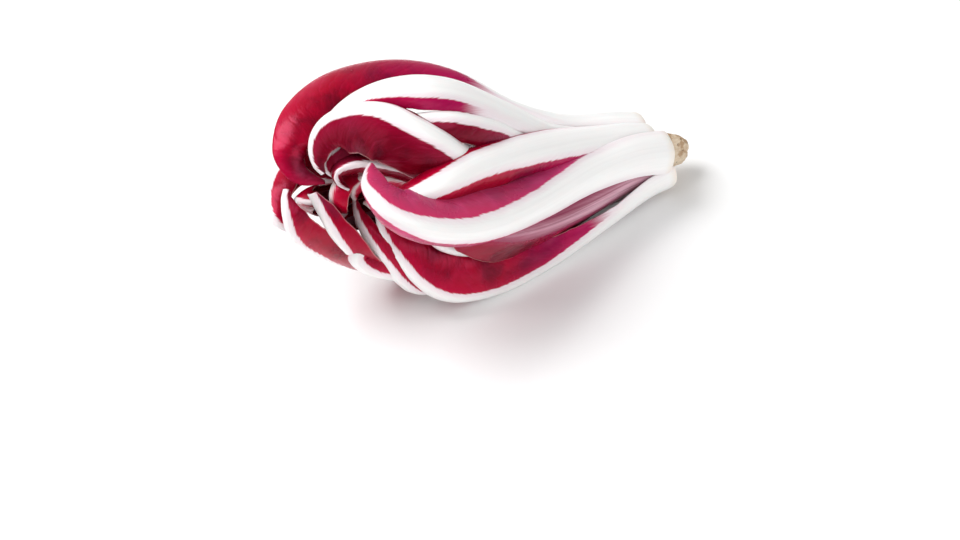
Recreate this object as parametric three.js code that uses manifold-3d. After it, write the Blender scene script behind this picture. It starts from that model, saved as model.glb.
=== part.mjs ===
// Late red radicchio of the Treviso kind: one head, lying on its side.
// Long white ribs rise from a trimmed root, belly out, and their wine-red blades fold inward and
// hook over one another at the tips. Millimetres, +Z up, +X toward the root, -Y the front.
import * as THREE from "three";
import { mergeVertices } from "three/addons/utils/BufferGeometryUtils.js";
import Module from "manifold-3d";

const wasm = await Module();
wasm.setup();

// The head's own axis runs from the crown of the root to the tips. LEAN is how far it rises
// toward the tips, and CROWN is where the crown lies in the part's frame.
const LEAN = 16.5;
const CROWN = [77.9, -0.9, 12.2];

// The trimmed root: a stub that widens to a shoulder, which the leaf bases stand round.
// Each row is [along the axis, radius].
const ROOT_PROFILE = [
  [23, 0], [21, 2.4], [17, 5.8], [13, 8.2], [9, 8.4], [3, 7.3], [-3, 6.3], [-6, 4.6], [-6, 0],
];
const ROOT_SIDES = 20;
const ROOT_WOBBLE = 0.35;

// Every leaf shares these shapes along its length, each row [share of the length, value].
// The blades start narrow, are widest past the belly, and draw in to the tip.
const BLADE_SHARE = [
  [0, 0.04], [0.18, 0.08], [0.3, 0.3], [0.45, 0.68], [0.6, 0.9],
  [0.75, 1], [0.87, 0.86], [0.95, 0.52], [1, 0.08],
];
const RIB_SHARE = [0, 0.35, 0.7, 1];
const RIB_THICKNESS = [[0, 5.2], [0.3, 4.4], [0.6, 3.6], [0.85, 2.2], [1, 1]];
const BLADE_THICKNESS = 1.6;
const EDGE_THICKNESS = 0.9;
// The rib's outer face is an arc this high for each millimetre of half width, and its inner face
// is this much narrower.
const RIB_ARCH = 0.42;
const RIB_INSIDE = 0.88;
// The cut foot of a leaf is rounded off to this share of its section.
const FOOT_SIZE = 0.74;
const FOOT_SHARE = 0.02;

// How finely a leaf is cut into faces. Stations crowd toward the tip, where the leaf hooks over.
const STATIONS = 15;
const HEART_STATIONS = 9;
const TIP_CROWDING = 1.35;
const RIB_POINTS = 3;
const BLADE_POINTS = 2;
const ROUTE_STEPS = 200;

// Leaves that press on one another keep this gap. The lowest ones are pressed flat at z = 0.
const GAP = 0.3;
// Detail left by a cut that is finer than this is smoothed away.
const FINEST = 0.1;

// The leaves. A route runs from the base to the tip through points [along, out, round, roll]:
// along the axis, out from it, round it from straight up toward the front, and the turn of the
// leaf about its own line. rib is the half width at the shares in RIB_SHARE. blades and folds are
// the widest blade and its fold angle, on the side round counts down to and the side it counts up to.
const LEAVES = [
  {
    name: "leaf_outer_1",
    rib: [8.4, 6.6, 4.2, 0.5],
    blades: [14.5, 6],
    folds: [80, 85],
    route: [
      [9, 16.5, 57, 0], [27, 19, 56, 0], [48, 22, 65, 6], [71, 29, 76, 14], [93, 37, 79.5, 18],
      [114, 43, 78.5, 20], [132, 45, 74, 20], [146, 43, 66, 22], [152, 38.5, 57, 26],
      [152.5, 32, 45, 30], [148.5, 28, 34, 34], [144, 25.5, 25, 34],
    ],
  },
  {
    name: "leaf_outer_2",
    rib: [7.4, 5.6, 4, 0.8],
    blades: [17, 8],
    folds: [80, 85],
    route: [
      [5, 15.5, 110, 0], [18, 18, 122, 4], [38, 26.5, 137, 13], [60, 36, 145, 20],
      [82, 42.5, 147, 24], [101, 43.5, 147, 26], [113, 39.9, 147, 25], [121.5, 32.6, 145, 22],
      [127.2, 25.1, 141, 18], [131.8, 18.2, 136, 12], [134.6, 12.4, 124, 8],
      [135.3, 7.5, 106, 5],
    ],
  },
  {
    name: "leaf_outer_3",
    rib: [6.6, 5.8, 5, 0.8],
    blades: [7, 9],
    folds: [80, 85],
    route: [
      [7, 15.5, 179, 0], [22, 17.5, 178, 0], [45, 24.5, 176, 0], [70, 33, 174, 0],
      [94, 39.5, 171, 0], [108, 41.2, 168, 0], [118, 38.5, 163, -3], [126, 32, 157, -8],
      [132.5, 24, 151, -12], [138, 16.5, 145, -15], [141, 10, 139, -15], [142, 4, 136, -15],
      [141, -2, 135, -15],
    ],
  },
  {
    name: "leaf_outer_4",
    rib: [6.6, 5.8, 4.4, 1.1],
    blades: [12, 7],
    folds: [70, 85],
    route: [
      [8, 15.5, 226, 0], [22, 17.5, 223, 0], [45, 24.5, 214, 0], [70, 33.5, 204, 0],
      [94, 41, 199, 0], [113, 43, 199, -8], [132, 38, 198, -25], [148, 27.5, 193, -42],
      [159, 18.2, 187, -55], [166, 9.5, 178, -62], [169, 1.5, 160, -64], [169, -4.5, 146, -62],
      [167.5, -8.5, 143, -60],
    ],
  },
  {
    name: "leaf_outer_5",
    rib: [6.6, 5.6, 4, 1.2],
    blades: [9, 11],
    folds: [80, 85],
    route: [
      [10, 15.5, 273, 0], [25, 18, 272, 0], [48, 26, 271, 0], [72, 36, 270, 0],
      [98, 44, 270, 0], [124, 44.5, 270, 0], [144, 39.5, 268, 6], [155.5, 34, 262, 14],
      [162, 28, 255, 20], [165, 23.5, 245, 26], [165.5, 19.5, 231, 28], [163, 18.5, 218, 28],
      [157, 19.5, 208, 28],
    ],
  },
  {
    name: "leaf_outer_6",
    rib: [7, 6.2, 1.3, 0.3],
    blades: [9, 18],
    folds: [80, 104],
    route: [
      [12, 16.5, -34, 14], [24, 18, -35, 16], [45, 20, -38, 12], [66, 28.5, -42, 2],
      [88, 43.8, -46, -14], [112, 50.8, -49, -28], [138, 49.2, -51, -33],
      [158, 38.5, -50, -29], [167.5, 24, -46, -23], [166.5, 14, -40, -18], [161, 9, -33, -16],
      [152, 8, -27, -16],
    ],
  },
  {
    name: "leaf_middle_1",
    rib: [5.8, 6.4, 4.6, 0.8],
    blades: [6.5, 8.5],
    folds: [80, 85],
    route: [
      [13, 14, 8, 0], [24, 16, 12, 2], [41, 19, 21, 10], [64, 25, 30, 18], [86, 31.5, 38, 25],
      [108, 37, 45, 30], [122, 38.5, 51, 32], [134, 36, 56, 32], [142, 30, 60, 32],
      [144, 22, 62, 32], [138, 15, 62, 32],
    ],
  },
  {
    name: "leaf_middle_2",
    rib: [7.4, 5.4, 3.2, 0.6],
    blades: [5, 13],
    folds: [70, 38],
    route: [
      [12, 13.5, 99, 0], [26, 14.5, 106, -5], [45, 19.5, 110, -12], [65, 25, 107, -18],
      [86, 29.5, 101, -20], [101, 30.5, 94, -20], [112, 28, 85, -20], [117, 23, 76, -20],
    ],
  },
  {
    name: "leaf_middle_3",
    rib: [4.8, 5, 4.4, 2.4],
    blades: [9, 7],
    folds: [65, 85],
    route: [
      [12, 12, 152, 0], [28, 14, 154, 0], [48, 20, 158, 0], [72, 27, 160, 0], [96, 33, 161, 0],
      [116, 34, 161, 0], [128.4, 31.4, 160, -6], [137.5, 27.5, 158, -14],
      [142.5, 22.5, 155, -22], [142, 18, 150, -26], [139.5, 15, 146, -26],
    ],
  },
  {
    name: "leaf_middle_4",
    rib: [4.8, 5, 3.6, 0.7],
    blades: [8, 8],
    folds: [80, 85],
    route: [
      [12, 12, 203, 0], [28, 14, 205, 0], [48, 20, 209, 0], [72, 28.5, 215, 0],
      [98, 35, 220, 0], [120, 33, 220, 0], [136, 26, 216, 0], [144, 16, 212, 0],
      [142, 7, 205, 0],
    ],
  },
  {
    name: "leaf_middle_5",
    rib: [4.8, 5.4, 2.2, 0.5],
    blades: [11, 11],
    folds: [80, 85],
    route: [
      [12, 12, 249, 0], [28, 14, 249, 0], [48, 21, 248, 0], [72, 31, 245, 0], [98, 39, 242, 0],
      [122, 40, 241, 0], [142, 33, 243, 0], [154, 22, 246, 0], [156, 12, 250, 0],
      [152, 3, 252, 0],
    ],
  },
  {
    name: "leaf_middle_6",
    rib: [4.8, 5.4, 2.8, 0.5],
    blades: [11, 11],
    folds: [80, 85],
    route: [
      [12, 12, 300, 0], [28, 13.5, 296, 0], [48, 17.5, 288, 0], [72, 28, 283, 0],
      [98, 37.5, 283, 0], [122, 41, 284, 0], [143, 36, 287, 0], [155, 26, 292, 0],
      [158, 15.5, 298, 0], [153, 10, 306, 0], [145, 8, 325, 0],
    ],
  },
  {
    name: "leaf_inner_1",
    rib: [4.4, 7.4, 5.8, 0.9],
    blades: [8, 5.5],
    folds: [80, 85],
    route: [
      [15, 11.5, -15, 0], [28, 12.5, -13, 3], [55, 18, -10, 8], [79, 31, -3, 14],
      [98, 41, -3, 15], [111, 45.5, -3, 15], [122, 46.5, -5, 15], [133, 44.5, -10, 12],
      [143, 39, -17, 8], [150, 31, -25, 5], [152, 22, -30, 5],
    ],
  },
  {
    name: "leaf_inner_2",
    rib: [3.6, 4.4, 4.4, 1],
    blades: [7, 16],
    folds: [55, 75],
    route: [
      [16, 9, 46, 0], [35, 11, 42, 0], [60, 14, 40, 0], [85, 20.5, 40, 0], [104, 30, 38, 0],
      [118, 39, 31, 0], [130, 42.5, 20, 0], [138, 42.5, 8, 0], [146, 38.5, -6, 0],
      [153, 33.5, -15, 0], [157, 27.5, -20, 0], [158.5, 21, -20, 0], [157.5, 15.5, -15, 0],
      [155, 12.5, -9, 0],
    ],
  },
  {
    name: "leaf_inner_3",
    rib: [3.4, 4.6, 2.4, 0.5],
    blades: [7, 9],
    folds: [80, 85],
    route: [
      [16, 8.5, 12, 0], [30, 9.5, 12, 0], [55, 13.5, 11, 0], [75, 23.5, 11, 0],
      [95, 34.5, 13, 0], [113, 41, 12, 0], [128, 38, 6, 0], [140, 29.5, -4, 0],
      [149, 22, -12, 0], [153.5, 17.5, -14, 0], [153.5, 13.5, -8, 0], [150, 11, 2, 0],
    ],
  },
  {
    name: "leaf_inner_4",
    rib: [3.2, 3.4, 1.6, 0.4],
    blades: [8, 10],
    folds: [80, 85],
    route: [
      [16, 8.5, 78, 0], [32, 9.5, 74, 0], [55, 11, 68, 0], [80, 15.5, 66, 0], [105, 21, 58, 0],
      [125, 24, 40, 0], [140, 22, 22, 0], [148, 19, 13, 0], [152, 15.5, 12, 0],
      [151, 12, 20, 0], [147, 10, 30, 0],
    ],
  },
  {
    name: "leaf_inner_5",
    rib: [3.4, 4.4, 3.4, 0.7],
    blades: [8, 8],
    folds: [80, 85],
    route: [
      [16, 9, 119, 0], [32, 13, 128, 0], [55, 20, 130, 0], [80, 26, 129, 0], [100, 28, 125, 0],
      [114, 25, 118, 0], [121, 19, 108, 0], [122, 12, 96, 0],
    ],
  },
  {
    name: "leaf_inner_6",
    rib: [3.4, 4, 3.2, 0.7],
    blades: [9, 8],
    folds: [80, 85],
    route: [
      [16, 8, 160, 0], [34, 10, 166, 0], [58, 14, 171, 0], [84, 20, 178, 0], [108, 24, 186, 0],
      [126, 21, 190, 0], [136, 14, 192, 0], [138, 6, 194, 0],
    ],
  },
  {
    name: "leaf_inner_7",
    rib: [3.4, 4.4, 3.6, 2.6],
    blades: [7.5, 5.5],
    folds: [50, 70],
    route: [
      [40, 11, 210, 0], [62, 17.5, 208, 0], [88, 26, 202, 0], [113, 29, 191, 0],
      [126, 28, 182, 0], [136, 25, 174, -8], [143, 20.5, 166, -20], [148, 15.5, 158, -30],
      [152, 10.5, 150, -35], [154.5, 5, 147, -35], [156.5, 0, 147, -35], [158.5, -5, 147, -35],
    ],
  },
  {
    name: "leaf_inner_8",
    rib: [3.4, 4.2, 3.2, 0.7],
    blades: [7, 8],
    folds: [80, 85],
    route: [
      [16, 8, 264, 0], [34, 10, 270, 0], [58, 15, 276, 0], [84, 23, 282, 0], [108, 29, 286, 0],
      [128, 28, 288, 0], [140, 20, 290, 0], [142, 11, 290, 0],
    ],
  },
  {
    name: "leaf_heart_1",
    rib: [2.6, 3.2, 2.4, 0.6],
    blades: [6, 6],
    folds: [80, 85],
    route: [
      [20, 4.5, 20, 0], [40, 6, 20, 0], [66, 9, 15, 0], [90, 12, 5, 0], [108, 12, -15, 0],
      [118, 8, -40, 0], [120, 3, -70, 0],
    ],
  },
  {
    name: "leaf_heart_2",
    rib: [2.6, 3.2, 2.4, 0.6],
    blades: [6, 6],
    folds: [80, 85],
    route: [
      [20, 4.5, 140, 0], [40, 6, 140, 0], [66, 9, 138, 0], [88, 12, 128, 0], [104, 12, 110, 0],
      [114, 8, 90, 0], [116, 3, 70, 0],
    ],
  },
  {
    name: "leaf_heart_3",
    rib: [2.6, 3.2, 2.4, 0.6],
    blades: [6, 6],
    folds: [80, 85],
    route: [
      [20, 4.5, 256, 0], [40, 6, 250, 0], [66, 9, 250, 0], [88, 12, 258, 0], [104, 12, 270, 0],
      [113, 8, 280, 0], [114, 3, 290, 0],
    ],
  },
  {
    name: "leaf_heart_4",
    rib: [2.2, 2.8, 1.7, 0.5],
    blades: [8, 8],
    folds: [85, 85],
    route: [
      [60, 11, -62, 0], [92, 14.5, -58, 0], [120, 14.5, -50, 0], [138, 12.5, -36, 0],
      [147.5, 10, -20, 0], [151.5, 6, -5, 0], [151, 1, 10, 0], [147, -4, 25, 0],
      [141, -8, 35, 0],
    ],
  },
  {
    name: "leaf_heart_5",
    rib: [2.2, 2.8, 1.7, 0.5],
    blades: [9, 9],
    folds: [85, 90],
    route: [
      [60, 9, 48, 0], [90, 12.5, 50, 0], [115, 15, 42, 0], [130, 15, 28, 0],
      [139, 13.5, 16, 0], [143.5, 9.5, 14, 0], [144, 5, 20, 0], [141.5, 1, 30, 0],
    ],
  },
  {
    name: "leaf_heart_6",
    rib: [2.2, 2.8, 1.9, 0.5],
    blades: [9, 8],
    folds: [100, 90],
    route: [
      [60, 13, 100, 0], [90, 17, 99, 0], [115, 18, 97, 0], [130, 14.5, 88, 0],
      [138, 9.5, 80, 0], [139.5, 4, 70, 0],
    ],
  },
];

const rad = THREE.MathUtils.degToRad;
const lean = rad(LEAN);
const AXIS = new THREE.Vector3(-Math.cos(lean), 0, Math.sin(lean));
const UP = new THREE.Vector3(Math.sin(lean), 0, Math.cos(lean));
const FRONT = new THREE.Vector3(0, -1, 0);

// The direction out from the axis at an angle round it, in radians.
function outward(round) {
  return UP.clone().multiplyScalar(Math.cos(round)).addScaledVector(FRONT, Math.sin(round));
}

// A point of the head from its distance along the axis, out from it and round it.
function headPoint(along, out, round) {
  return AXIS.clone().multiplyScalar(along).addScaledVector(outward(round), out);
}

// The value of a list of [place, value] rows at a place between them.
function between(rows, place) {
  let i = 0;
  while (i < rows.length - 2 && place > rows[i + 1][0]) i += 1;
  const [from, low] = rows[i];
  const [to, high] = rows[i + 1];
  return low + ((high - low) * (place - from)) / (to - from);
}

// A smooth line through the points of a route, at t from 0 to 1.
function routeAt(route, t) {
  const u = Math.min(Math.max(t, 0), 1) * (route.length - 1);
  const i = Math.min(Math.floor(u), route.length - 2);
  const f = u - i;
  const here = route[i];
  const next = route[i + 1];
  const before = route[i - 1] ?? here.map((v, k) => 2 * v - next[k]);
  const after = route[i + 2] ?? next.map((v, k) => 2 * v - here[k]);
  return here.map((v, k) => {
    const a = next[k] - before[k];
    const b = 2 * before[k] - 5 * v + 4 * next[k] - after[k];
    const c = 3 * v - before[k] - 3 * next[k] + after[k];
    return v + 0.5 * f * (a + f * (b + f * c));
  });
}

// How fast a route's values change at t.
function slopeAt(route, t) {
  const step = 1e-3;
  const ahead = routeAt(route, t + step);
  const behind = routeAt(route, t - step);
  return ahead.map((v, k) => v - behind[k]);
}

// Evenly spaced steps along a route, each with its place, its direction of growth and the
// direction out from the axis there.
function walk(route) {
  const ts = Array.from({ length: ROUTE_STEPS + 1 }, (_, i) => i / ROUTE_STEPS);
  const line = ts.map((t) => {
    const [along, out, round] = routeAt(route, t);
    return headPoint(along, out, rad(round));
  });
  const run = [0];
  for (let i = 1; i < line.length; i += 1) run.push(run[i - 1] + line[i].distanceTo(line[i - 1]));
  const length = run[ROUTE_STEPS];
  const rows = run.map((d, i) => [d / length, ts[i]]);
  return ts.map((share) => {
    const t = between(rows, share);
    const [along, out, roundDeg, rollDeg] = routeAt(route, t);
    const round = rad(roundDeg);
    const [da, dr, dRound] = slopeAt(route, t);
    const back = outward(round);
    const growth = AXIS.clone().multiplyScalar(da)
      .addScaledVector(back, dr)
      .addScaledVector(outward(round + Math.PI / 2), out * rad(dRound))
      .normalize();
    return { share, place: headPoint(along, out, round), growth, back, roll: rad(rollDeg) };
  });
}

// Where a leaf is cut into rings: shares of its length, with one ring close to its foot.
function sharesOf(count) {
  const shares = Array.from({ length: count + 1 }, (_, i) => 1 - (1 - i / count) ** TIP_CROWDING);
  return [0, FOOT_SHARE, ...shares.slice(1)];
}

// The stations of a leaf, each with the direction out of its back and the one across it. The
// first faces straight out from the axis and is carried along the leaf without twisting, and
// then each station is turned by its roll.
function stationsOf(route, shares) {
  const steps = walk(route);
  let carried = steps[0].back;
  for (const step of steps) {
    carried = carried.clone().addScaledVector(step.growth, -carried.dot(step.growth)).normalize();
    step.normal = carried.clone().applyAxisAngle(step.growth, -step.roll);
    step.across = new THREE.Vector3().crossVectors(step.normal, step.growth);
  }
  return shares.map((share) => steps[Math.round(share * ROUTE_STEPS)]);
}

// One blade of the section, from the rib's edge to the blade's own edge, as pairs of points
// [outside, inside]. It leaves the rib along the rib's arc and bends inward to its fold angle.
function bladeSection(half, width, fold) {
  const start = Math.atan(2 * RIB_ARCH);
  const end = rad(fold);
  const step = width / BLADE_POINTS;
  let x = half;
  let y = 0;
  return Array.from({ length: BLADE_POINTS }, (_, i) => {
    const middle = start + ((end - start) * (i + 0.5)) / BLADE_POINTS;
    x += Math.cos(middle) * step;
    y -= Math.sin(middle) * step;
    const share = (i + 1) / BLADE_POINTS;
    const thick = BLADE_THICKNESS + (EDGE_THICKNESS - BLADE_THICKNESS) * share;
    const turn = start + (end - start) * share;
    return [[x, y], [x - Math.sin(turn) * thick, y - Math.cos(turn) * thick]];
  });
}

// The closed section of a leaf at a share of its length: the outside from one edge to the other,
// then the inside back again. The top of the rib is at the origin.
function sectionOf(leaf, share) {
  const half = between(RIB_SHARE.map((s, i) => [s, leaf.rib[i]]), share);
  const spread = between(BLADE_SHARE, share);
  const thick = between(RIB_THICKNESS, share);
  const edge = Math.min(BLADE_THICKNESS, thick * 0.6);
  const arch = RIB_ARCH * half;
  const ribPairs = Array.from({ length: RIB_POINTS }, (_, i) => {
    const k = (2 * i) / (RIB_POINTS - 1) - 1;
    const bulge = 1 - k * k;
    const depth = edge + (thick - edge) * bulge;
    return [[half * k, arch * bulge], [RIB_INSIDE * half * k, arch * bulge - depth]];
  });
  const low = bladeSection(half, leaf.blades[0] * spread, leaf.folds[0]);
  const high = bladeSection(half, leaf.blades[1] * spread, leaf.folds[1]);
  const mirrored = low.reverse().map((pair) => pair.map(([x, y]) => [-x, y]));
  const pairs = [...mirrored, ...ribPairs, ...high];
  const ring = [...pairs.map(([outside]) => outside), ...pairs.map(([, inside]) => inside).reverse()];
  const size = share < FOOT_SHARE ? FOOT_SIZE : 1;
  const core = -thick / 2;
  return ring.map(([x, y]) => [x * size, core + (y - arch - core) * size]);
}

// A section moved outward all round by a margin.
function grown(section, margin) {
  return section.map(([x, y], i) => {
    const [ax, ay] = section[(i + section.length - 1) % section.length];
    const [bx, by] = section[(i + 1) % section.length];
    const before = new THREE.Vector2(x - ax, y - ay).normalize();
    const after = new THREE.Vector2(bx - x, by - y).normalize();
    const along = before.clone().add(after).normalize();
    const reach = margin / Math.max(0.4, along.dot(before));
    return [x - along.y * reach, y + along.x * reach];
  });
}

// The faces of a closed skin over rings of points, with both ends closed across the section.
function skin(rings) {
  const size = rings[0].length;
  const positions = rings.flat().flatMap((p) => [p.x, p.y, p.z]);
  const faces = [];
  for (let i = 0; i < rings.length - 1; i += 1) {
    for (let j = 0; j < size; j += 1) {
      const a = i * size + j;
      const b = i * size + ((j + 1) % size);
      faces.push(a, b + size, b, a, a + size, b + size);
    }
  }
  const last = (rings.length - 1) * size;
  for (let j = 0; j < size / 2 - 1; j += 1) {
    const [a, b, c, d] = [j, j + 1, size - 2 - j, size - 1 - j];
    faces.push(a, c, d, a, b, c);
    faces.push(last + a, last + c, last + b, last + a, last + d, last + c);
  }
  const geometry = new THREE.BufferGeometry();
  geometry.setAttribute("position", new THREE.Float32BufferAttribute(positions, 3));
  geometry.setIndex(faces);
  return geometry;
}

// A leaf's geometry, larger all round by a margin.
function leafGeometry(leaf, margin = 0) {
  const shares = sharesOf(leaf.name.includes("heart") ? HEART_STATIONS : STATIONS);
  const rings = stationsOf(leaf.route, shares).map(({ share, place, growth, normal, across }, i) => {
    const section = sectionOf(leaf, share);
    const ends = i === 0 ? -margin : i === shares.length - 1 ? margin : 0;
    return (margin ? grown(section, margin) : section).map(([x, y]) =>
      place.clone()
        .addScaledVector(across, x)
        .addScaledVector(normal, y)
        .addScaledVector(growth, ends));
  });
  return skin(rings);
}

// The root's geometry: a lathe turned onto the axis, with a slightly uneven side.
function rootGeometry(margin = 0) {
  const points = ROOT_PROFILE.map(([along, radius]) => new THREE.Vector2(radius, along));
  const geometry = new THREE.LatheGeometry(points, ROOT_SIDES);
  const position = geometry.getAttribute("position");
  for (let i = 0; i < position.count; i += 1) {
    const [x, y, z] = [position.getX(i), position.getY(i), position.getZ(i)];
    const radius = Math.hypot(x, z);
    const angle = Math.atan2(x, z);
    const wobble = ROOT_WOBBLE * Math.sin(3 * angle + y) * Math.min(1, radius / 3);
    const onAxis = radius < 1e-6;
    const along = onAxis ? y + Math.sign(y) * margin : y;
    const point = headPoint(along, onAxis ? 0 : radius + wobble + margin, angle);
    position.setXYZ(i, point.x, point.y, point.z);
  }
  return geometry;
}

// A geometry as a solid.
function solidOf(geometry) {
  const bare = geometry.clone();
  bare.deleteAttribute("normal");
  bare.deleteAttribute("uv");
  const merged = mergeVertices(bare, 1e-4);
  return new wasm.Manifold(new wasm.Mesh({
    numProp: 3,
    vertProperties: new Float32Array(merged.getAttribute("position").array),
    triVerts: new Uint32Array(merged.index.array),
  }));
}

// The largest body of a solid, without the slivers that a cut may leave.
function largest(solid) {
  return solid.decompose().reduce((best, body) => (body.volume() > best.volume() ? body : best));
}

// A solid as a geometry for three.js.
function geometryOf(solid) {
  const mesh = solid.getMesh();
  const geometry = new THREE.BufferGeometry();
  geometry.setAttribute("position", new THREE.BufferAttribute(mesh.vertProperties, 3));
  geometry.setIndex(new THREE.BufferAttribute(mesh.triVerts, 1));
  const flat = geometry.toNonIndexed();
  flat.computeVertexNormals();
  return flat;
}

// Lays pieces in order, each giving way to the ones already laid, and flat on the surface.
function layPieces(pieces) {
  const laid = [];
  return pieces.map(({ name, shape }) => {
    let solid = solidOf(shape(0));
    for (const other of laid) solid = solid.subtract(other.solid);
    laid.push({ name, solid: solidOf(shape(GAP)) });
    const rested = solid.trimByPlane([0, 0, 1], -CROWN[2]);
    return { name, solid: largest(rested.simplify(FINEST)) };
  });
}

const COLOURS = { root: 0xc9a988, outer: 0xb0143f, middle: 0xa3123a, inner: 0x970f35, heart: 0xd9b9c0 };
const ROUGHNESS = { root: 0.8, outer: 0.35, middle: 0.35, inner: 0.35, heart: 0.45 };

const pieces = [
  { name: "root_stub", shape: rootGeometry },
  ...LEAVES.map((leaf) => ({ name: leaf.name, shape: (margin) => leafGeometry(leaf, margin) })),
];

const head = new THREE.Group();
head.name = "treviso_radicchio_head";
for (const { name, solid } of layPieces(pieces)) {
  const kind = name === "root_stub" ? "root" : name.split("_")[1];
  const material = new THREE.MeshStandardMaterial({ color: COLOURS[kind], roughness: ROUGHNESS[kind] });
  const mesh = new THREE.Mesh(geometryOf(solid), material);
  mesh.name = name;
  head.add(mesh);
}
head.position.set(...CROWN);

export default head;
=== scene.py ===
"""A late red radicchio of the Treviso kind, lying on a pale surface and dressed leaf by leaf.

Metres in Blender, +Z up, the root toward +X and the front toward -Y. The leaves are laid out in
millimetres, as in the model's own source, and are scaled when their meshes are made.
"""
import math
import random

import bpy
import numpy as np
from mathutils import Matrix, Vector


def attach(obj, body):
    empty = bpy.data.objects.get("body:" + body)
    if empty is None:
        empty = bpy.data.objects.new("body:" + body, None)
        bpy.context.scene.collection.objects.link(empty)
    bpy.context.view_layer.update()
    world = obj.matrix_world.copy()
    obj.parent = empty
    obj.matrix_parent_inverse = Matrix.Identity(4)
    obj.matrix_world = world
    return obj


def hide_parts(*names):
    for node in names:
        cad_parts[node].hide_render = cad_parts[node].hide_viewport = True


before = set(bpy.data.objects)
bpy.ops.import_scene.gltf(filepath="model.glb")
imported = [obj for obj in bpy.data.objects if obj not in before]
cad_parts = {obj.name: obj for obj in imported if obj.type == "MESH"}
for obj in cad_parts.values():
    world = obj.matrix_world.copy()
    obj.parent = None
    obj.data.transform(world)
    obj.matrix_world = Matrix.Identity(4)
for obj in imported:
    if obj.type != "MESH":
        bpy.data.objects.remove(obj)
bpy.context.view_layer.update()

MM = 0.001

# ---------------------------------------------------------------- the head, as the model has it
LEAN = math.radians(16.5)
CROWN = np.array([77.9, -0.9, 12.2])
AXIS = np.array([-math.cos(LEAN), 0.0, math.sin(LEAN)])
UP = np.array([math.sin(LEAN), 0.0, math.cos(LEAN)])
FRONT = np.array([0.0, -1.0, 0.0])

# The root's outline, as (along the axis, radius), from inside the crown to the cut end.
ROOT_PROFILE = (
    (23, 0), (21, 2.4), (17, 5.8), (13, 8.2), (9, 8.4), (3, 7.3), (-3, 6.3), (-6, 4.6), (-6, 0),
)
# How wide a blade is along a leaf, as (share of the length, share of its widest).
BLADE_SHARE = (
    (0, 0.04), (0.18, 0.08), (0.3, 0.3), (0.45, 0.68), (0.6, 0.9),
    (0.75, 1), (0.87, 0.86), (0.95, 0.52), (1, 0.08),
)
# A rib's half widths are given at these shares of the leaf's length.
RIB_SHARE = (0, 0.35, 0.7, 1)
RIB_THICKNESS = ((0, 5.2), (0.3, 4.4), (0.6, 3.6), (0.85, 2.2), (1, 1))
# The rise of a rib's arched back, as a share of its half width, and the width of its inner face.
RIB_ARCH = 0.42
RIB_INSIDE = 0.88
# The cut foot is this much smaller than the rib, over this share of the leaf's length.
FOOT_SIZE = 0.74
FOOT_SHARE = 0.02

# A leaf's blade is thinner here than in the model, which keeps its outer face.
BLADE_THICKNESS = 1.1
EDGE_THICKNESS = 0.5

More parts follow.
